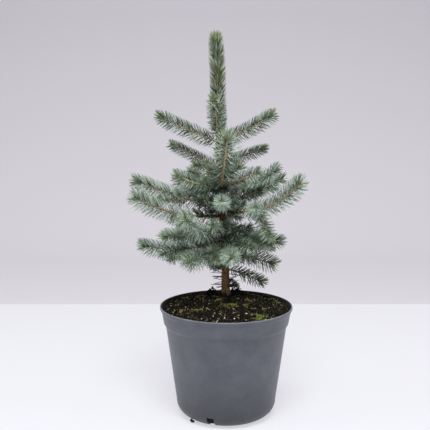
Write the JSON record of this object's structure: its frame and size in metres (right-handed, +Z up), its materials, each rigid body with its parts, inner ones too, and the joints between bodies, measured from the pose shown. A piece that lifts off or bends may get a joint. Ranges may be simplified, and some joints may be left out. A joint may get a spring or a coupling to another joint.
{
  "type": "potted colorado blue spruce",
  "caption": "Young blue-needled conifer with tiers of sprays round a straight leader, in a round grey nursery pot of peat.",
  "frame": {"origin": "middle of the pot's flat underside, on the floor", "axes": "+Z up along the plant, -Y towards the front of the plant as it was pictured"},
  "size_m": [0.3057, 0.2802, 0.6484],
  "materials": {
    "pot": "injection-moulded grey polypropylene, satin",
    "soil": "moist dark peat with moss and perlite",
    "bark": "rough brown bark with needle pegs",
    "needles": "waxy blue-green needles"
  },
  "bodies": {
    "root": {"leader_spray": "needles", "pot": "pot", "soil": "soil", "tier_1_back_spray": "needles", "tier_1_front_spray": "needles", "tier_1_left_spray": "needles", "tier_1_right_spray": "needles", "tier_2_back_spray": "needles", "tier_2_front_left_spray": "needles", "tier_2_left_spray": "needles", "tier_2_right_spray": "needles", "tier_3_back_left_spray": "needles", "tier_3_back_spray": "needles", "tier_3_front_right_spray": "needles", "tier_3_front_spray": "needles", "tier_3_left_spray": "needles", "tier_3_right_spray": "needles", "tier_4_back_bough": "bark", "tier_4_back_left_bough": "bark", "tier_4_back_left_spray": "needles", "tier_4_back_right_bough": "bark", "tier_4_back_right_spray": "needles", "tier_4_back_spray": "needles", "tier_4_front_left_bough": "bark", "tier_4_front_left_spray": "needles", "tier_4_front_right_bough": "bark", "tier_4_front_right_spray": "needles", "tier_4_front_spray": "needles", "tier_4_left_bough": "bark", "tier_4_left_spray": "needles", "tier_4_low_front_spray": "needles", "tier_4_low_left_spray": "needles", "tier_4_right_bough": "bark", "tier_4_right_spray": "needles", "tier_5_back_bough": "bark", "tier_5_back_left_bough": "bark", "tier_5_back_left_spray": "needles", "tier_5_back_right_bough": "bark", "tier_5_back_right_spray": "needles", "tier_5_back_spray": "needles", "tier_5_front_left_spray": "needles", "tier_5_front_right_spray": "needles", "tier_5_front_spray": "needles", "tier_5_left_bough": "bark", "tier_5_left_spray": "needles", "tier_5_low_front_spray": "needles", "tier_5_low_right_spray": "needles", "tier_5_right_back_spray": "needles", "tier_5_right_spray": "needles", "tier_5_upper_left_spray": "needles", "tier_6_back_spray": "needles", "tier_6_left_spray": "needles", "tier_6_right_spray": "needles", "trunk": "bark"}
  },
  "joints": []
}
